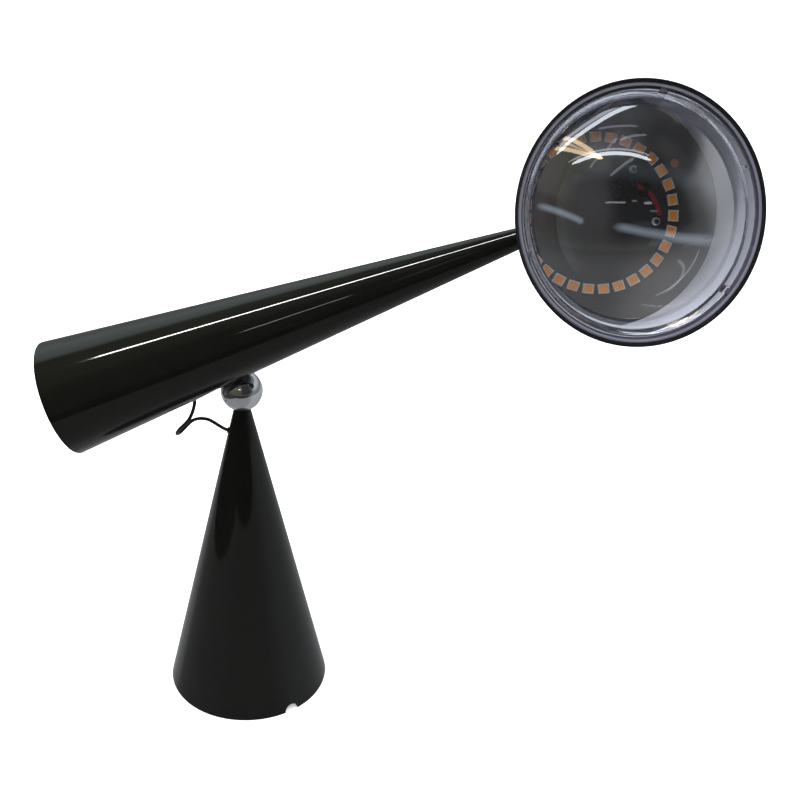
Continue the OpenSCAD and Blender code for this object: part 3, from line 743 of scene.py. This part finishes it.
COOL, DIM, CREAM = (0.86, 0.93, 1.0), (0.80, 0.82, 0.95), (1.0, 0.74, 0.45)
ribbon("lamp_b", [(-0.93, -0.72, 2.2), (-0.52, -0.50, 2.2), (-0.19, -0.34, 2.2), (0.13, -0.15, 2.2), (0.45, 0.08, 2.2), (0.76, 0.31, 2.2), (1.10, 0.60, 2.2)], 0.085, COOL, 2.9)
ribbon("lamp_b2", [(-0.80, -0.56, 2.2), (-0.49, -0.37, 2.2), (-0.17, -0.21, 2.2), (0.15, -0.02, 2.2), (0.46, 0.20, 2.2), (0.77, 0.43, 2.2)], 0.07, DIM, 1.5)
ribbon("lamp_c", [(-0.64, -1.13, 2.2), (-0.23, -1.02, 2.2), (0.16, -0.95, 2.2), (0.52, -0.93, 2.2), (0.92, -0.95, 2.2), (1.33, -1.01, 2.2)], 0.09, COOL, 3.1)
ribbon("lamp_c2", [(-0.73, -1.05, 2.2), (-0.23, -0.91, 2.2), (0.19, -0.84, 2.2), (0.52, -0.82, 2.2), (0.90, -0.83, 2.2), (1.26, -0.88, 2.2)], 0.05, DIM, 1.1)
ribbon("loop_a", [(-1.0, -0.42, 2.2), (-0.84, -0.33, 2.2), (-0.67, -0.31, 2.2), (-0.44, -0.46, 2.2), (-0.24, -0.67, 2.2), (-0.12, -0.81, 2.2), (0.0, -0.98, 2.2), (0.12, -1.07, 2.2)],
       0.10, CREAM, 2.4)
ribbon("loop_b", [(-1.0, -0.42, 2.2), (-0.87, -0.54, 2.2), (-0.72, -0.62, 2.2), (-0.57, -0.70, 2.2), (-0.29, -0.88, 2.2), (-0.01, -1.01, 2.2), (0.14, -1.08, 2.2)], 0.10, CREAM, 2.4)
ribbon("loop_c", [(-0.62, -0.47, 2.2), (-0.50, -0.57, 2.2), (-0.33, -0.74, 2.2), (-0.12, -0.90, 2.2), (0.07, -1.03, 2.2)], 0.07, CREAM, 1.4)
ribbon("band_a", [(-2.90, -2.30, 1.70), (-2.30, -2.93, 1.75), (-1.76, -3.34, 1.70), (-1.23, -3.65, 1.58), (-0.9, -3.81, 1.44)], 0.42, (0.66, 0.82, 1.0), 0.9, True)
ribbon("band_b", [(0.45, -4.0, 1.36), (1.06, -3.94, 1.28), (1.77, -3.76, 1.07), (2.66, -3.31, 0.76), (3.42, -2.6, 0.38), (3.99, -1.61, -0.01), (4.21, -0.59, -0.38)], 0.55, (0.70, 0.83, 1.0), 0.8, True)
ribbon("line_a", [(0.12, -0.31, 2.2), (0.38, -0.27, 2.2), (0.88, -0.19, 2.2)], 0.05, DIM, 0.5)
ribbon("line_b", [(0.52, -0.59, 2.2), (0.76, -0.46, 2.2), (1.08, -0.35, 2.2)], 0.05, DIM, 0.6)
ribbon("line_c", [(0.24, -0.85, 2.2), (0.38, -0.64, 2.2), (0.48, -0.54, 2.2)], 0.04, DIM, 0.6)
ribbon("line_d", [(0.29, -1.67, 2.2), (0.59, -1.31, 2.2), (0.86, -1.03, 2.2)], 0.07, DIM, 0.55)
ribbon("line_e", [(-0.21, -1.35, 2.2), (-0.08, -1.16, 2.2), (0.07, -1.03, 2.2)], 0.05, DIM, 0.5)


def glow_patch(name, az, el, color, strength, soft):
    """A soft patch of pale wall, 6 m from the head, between two compass directions and two heights; it fades at its edges."""
    bm = bmesh.new()
    n = 24
    rows = []
    for i in range(n + 1):
        a = math.radians(az[0] + (az[1] - az[0]) * i / n)
        row = []
        for k in range(n + 1):
            e = math.radians(el[0] + (el[1] - el[0]) * k / n)
            row.append(bm.verts.new(HEAD + 6.0 * Vector((math.sin(a) * math.cos(e), -math.cos(a) * math.cos(e), math.sin(e)))))
        rows.append(row)
    for i in range(n):
        for k in range(n):
            bm.faces.new((rows[i][k], rows[i + 1][k], rows[i + 1][k + 1], rows[i][k + 1]))
    o = from_bmesh(name, bm, None, 60)
    at = o.data.attributes.new("glow", "FLOAT", "POINT")

    def fade(u):
        v = min(1, u / soft, (1 - u) / soft)
        return v * v * (3 - 2 * v)
    for i in range(n + 1):
        for k in range(n + 1):
            at.data[i * (n + 1) + k].value = fade(i / n) * fade(k / n)
    paint(o, glow_material(name + "_glow", color, strength, True))
    only_in_lens(o)
    return o


glow_patch("wall_left", (-44, 14), (-12, 66), (1.0, 0.9, 1.25), 0.06, 0.45)
glow_patch("wall_far_left", (-125, -28), (-12, 66), (1.0, 0.35, 1.25), 0.045, 0.3)
glow_patch("wall_low", (-90, 70), (-85, 10), (0.97, 0.97, 1.0), 0.2, 0.3)
glow_patch("wall_low_right", (0, 130), (-75, 6), (0.97, 0.97, 1.0), 0.34, 0.4)
glow_patch("wall_right", (70, 130), (-30, 40), (0.95, 0.96, 1.0), 0.4, 0.35)


def toward(points, dist=4.0):
    """Points at dist from the head, given as (height, compass) angles."""
    return [HEAD + dist * Vector((math.sin(math.radians(a)) * math.cos(math.radians(e)), -math.cos(math.radians(a)) * math.cos(math.radians(e)), math.sin(math.radians(e)))) for e, a in points]


ribbon("loop_d", [(0.80, 0.66, 2.2), (0.95, 0.57, 2.2), (1.19, 0.63, 2.2), (1.51, 0.74, 2.2), (1.88, 0.94, 2.2), (2.15, 1.14, 2.2)], 0.09, CREAM, 2.2)
ribbon("loop_e", [(0.82, 0.66, 2.2), (1.0, 0.72, 2.2), (1.16, 0.77, 2.2), (1.45, 0.89, 2.2), (1.8, 1.06, 2.2), (2.15, 1.16, 2.2)], 0.09, CREAM, 2.0)
ribbon("tint_a", toward([(60, 124), (54, 118), (49, 113), (45, 106)], 2.5), 0.10, (1.0, 0.86, 0.25), 0.35, True)
ribbon("tint_b", toward([(57, 126), (51, 121), (46, 116), (42, 109)], 2.5), 0.10, (0.55, 0.6, 1.0), 0.45, True)
ribbon("tint_c", toward([(-57, 45), (-53, 53), (-49, 58), (-44, 61)]), 0.16, (1.0, 0.86, 0.3), 0.4, True)
ribbon("arc_low_a", toward([(-11, 68), (-18, 65), (-25, 60), (-33, 51), (-38, 41)]), 0.12, DIM, 0.9, True)
ribbon("arc_low_b", toward([(-14, 50), (-20, 57), (-28, 57), (-36, 48)]), 0.2, DIM, 0.6, True)
ribbon("arc_low_c", toward([(-53, -15), (-57, 5), (-57, 20), (-54, 43)]), 0.12, DIM, 0.9, True)
ribbon("dash_a", [(0.09, -3.18, 2.2), (0.3, -3.17, 2.2), (0.51, -3.17, 2.2), (0.75, -3.16, 2.2), (0.99, -3.16, 2.2)], 0.07, DIM, 0.9)
ribbon("dash_b", [(1.23, -3.02, 2.2), (1.34, -3.01, 2.2), (1.45, -3.01, 2.2)], 0.08, DIM, 0.5)
ribbon("dash_c", [(1.86, -3.16, 2.2), (2.08, -3.14, 2.2), (2.29, -3.13, 2.2)], 0.12, DIM, 0.9)
ribbon("dash_d", [(2.63, -4.03, 2.2), (2.93, -4.02, 2.2), (3.23, -4.02, 2.2)], 0.1, DIM, 0.4)

# the room round the table: one height gradient for each side, mixed round the compass
world = bpy.data.worlds.new("studio")
scene.world = world
world.use_nodes = True
tw = world.node_tree
tw.nodes.clear()
wo = tw.nodes.new("ShaderNodeOutputWorld")
bg = tw.nodes.new("ShaderNodeBackground")
wc = tw.nodes.new("ShaderNodeTexCoord")
ws = tw.nodes.new("ShaderNodeSeparateXYZ")
tw.links.new(wc.outputs["Generated"], ws.inputs[0])
height = remap(tw, ws.outputs["Z"], -1, 1, 0, 1)
neg = tw.nodes.new("ShaderNodeMath")
neg.operation = "MULTIPLY"
neg.inputs[1].default_value = -1
tw.links.new(ws.outputs["Y"], neg.inputs[0])
at2 = tw.nodes.new("ShaderNodeMath")
at2.operation = "ARCTAN2"
tw.links.new(ws.outputs["X"], at2.inputs[0])
tw.links.new(neg.outputs[0], at2.inputs[1])
compass = remap(tw, at2.outputs[0], -math.pi, math.pi, 0, 1)


def by_height(stops):
    return ramp(tw, height, [((math.sin(math.radians(e)) + 1) / 2, c) for e, c in stops])


def by_compass(stops):
    return ramp(tw, compass, [((a + 180) / 360, (v, v, v)) for a, v in stops])


def mix_rgb(fac, a, b):
    m = tw.nodes.new("ShaderNodeMix")
    m.data_type = "RGBA"
    tw.links.new(fac, m.inputs[0])
    tw.links.new(a, m.inputs[6])
    tw.links.new(b, m.inputs[7])
    return m.outputs[2]


front = by_height([(-90, (0.02, 0.02, 0.02)), (-5, (0.02, 0.02, 0.018)), (-3, (0.07, 0.07, 0.06)), (24, (0.08, 0.08, 0.07)),
                   (48, (0.08, 0.08, 0.07)), (56, (0.2, 0.21, 0.18)), (66, (0.3, 0.3, 0.33)), (90, (0.12, 0.12, 0.13))])
left = by_height([(-90, (0.04, 0.04, 0.04)), (-4, (0.04, 0.04, 0.04)), (0, (0.08, 0.08, 0.05)), (25, (0.09, 0.095, 0.05)), (29, (0.165, 0.175, 0.113)),
                  (56, (0.18, 0.19, 0.13)), (62, (0.26, 0.27, 0.215)), (90, (0.12, 0.12, 0.12))])
right = by_height([(-90, (0.12, 0.126, 0.132)), (-20, (0.14, 0.15, 0.16)), (0, (0.19, 0.2, 0.22)), (14, (0.42, 0.45, 0.49)), (26, (0.42, 0.44, 0.47)),
                   (32, (0.06, 0.06, 0.065)), (60, (0.06, 0.06, 0.06)), (90, (0.12, 0.12, 0.12))])
back = by_height([(-90, (0.24, 0.24, 0.24)), (-10, (0.17, 0.18, 0.185)), (10, (0.3, 0.33, 0.33)), (30, (0.76, 0.89, 0.89)), (44, (0.89, 1.04, 1.01)),
                  (50, (0.75, 0.9, 0.82)), (53.5, (0.27, 0.29, 0.21)), (90, (0.2, 0.2, 0.18))])
room = mix_rgb(by_compass([(-180, 1), (-42, 1), (-24, 0), (180, 0)]), front, left)
room = mix_rgb(by_compass([(-180, 0), (36, 0), (66, 1), (180, 1)]), room, right)
room = mix_rgb(by_compass([(-180, 1), (-127, 1), (-116, 0), (158, 0), (172, 1), (180, 1)]), room, back)
# a dark doorway to the front right, above the table
door = tw.nodes.new("ShaderNodeMath")
door.operation = "MULTIPLY"
tw.links.new(by_compass([(-180, 0), (-3, 0), (8, 1), (60, 1), (86, 0), (180, 0)]), door.inputs[0])
tw.links.new(by_height([(-90, (0, 0, 0)), (-3, (0, 0, 0)), (6, (1, 1, 1)), (50, (1, 1, 1)), (64, (0, 0, 0)), (90, (0, 0, 0))]), door.inputs[1])
inside = by_compass([(-180, 0.03), (48, 0.03), (58, 0.055), (70, 0.13), (90, 0.25), (180, 0.25)])
room = mix_rgb(door.outputs[0], room, inside)
tw.links.new(room, bg.inputs[0])
bg.inputs[1].default_value = 1.0
tw.links.new(bg.outputs[0], wo.inputs[0])

scene.cycles.use_denoising = True
scene.cycles.max_bounces = 16
scene.cycles.transmission_bounces = 12
scene.cycles.glossy_bounces = 8
scene.cycles.diffuse_bounces = 4
scene.cycles.transparent_max_bounces = 16
scene.cycles.caustics_reflective = False
scene.cycles.caustics_refractive = False
scene.cycles.blur_glossy = 0.0
scene.view_settings.view_transform = "Standard"
scene.view_settings.look = "None"
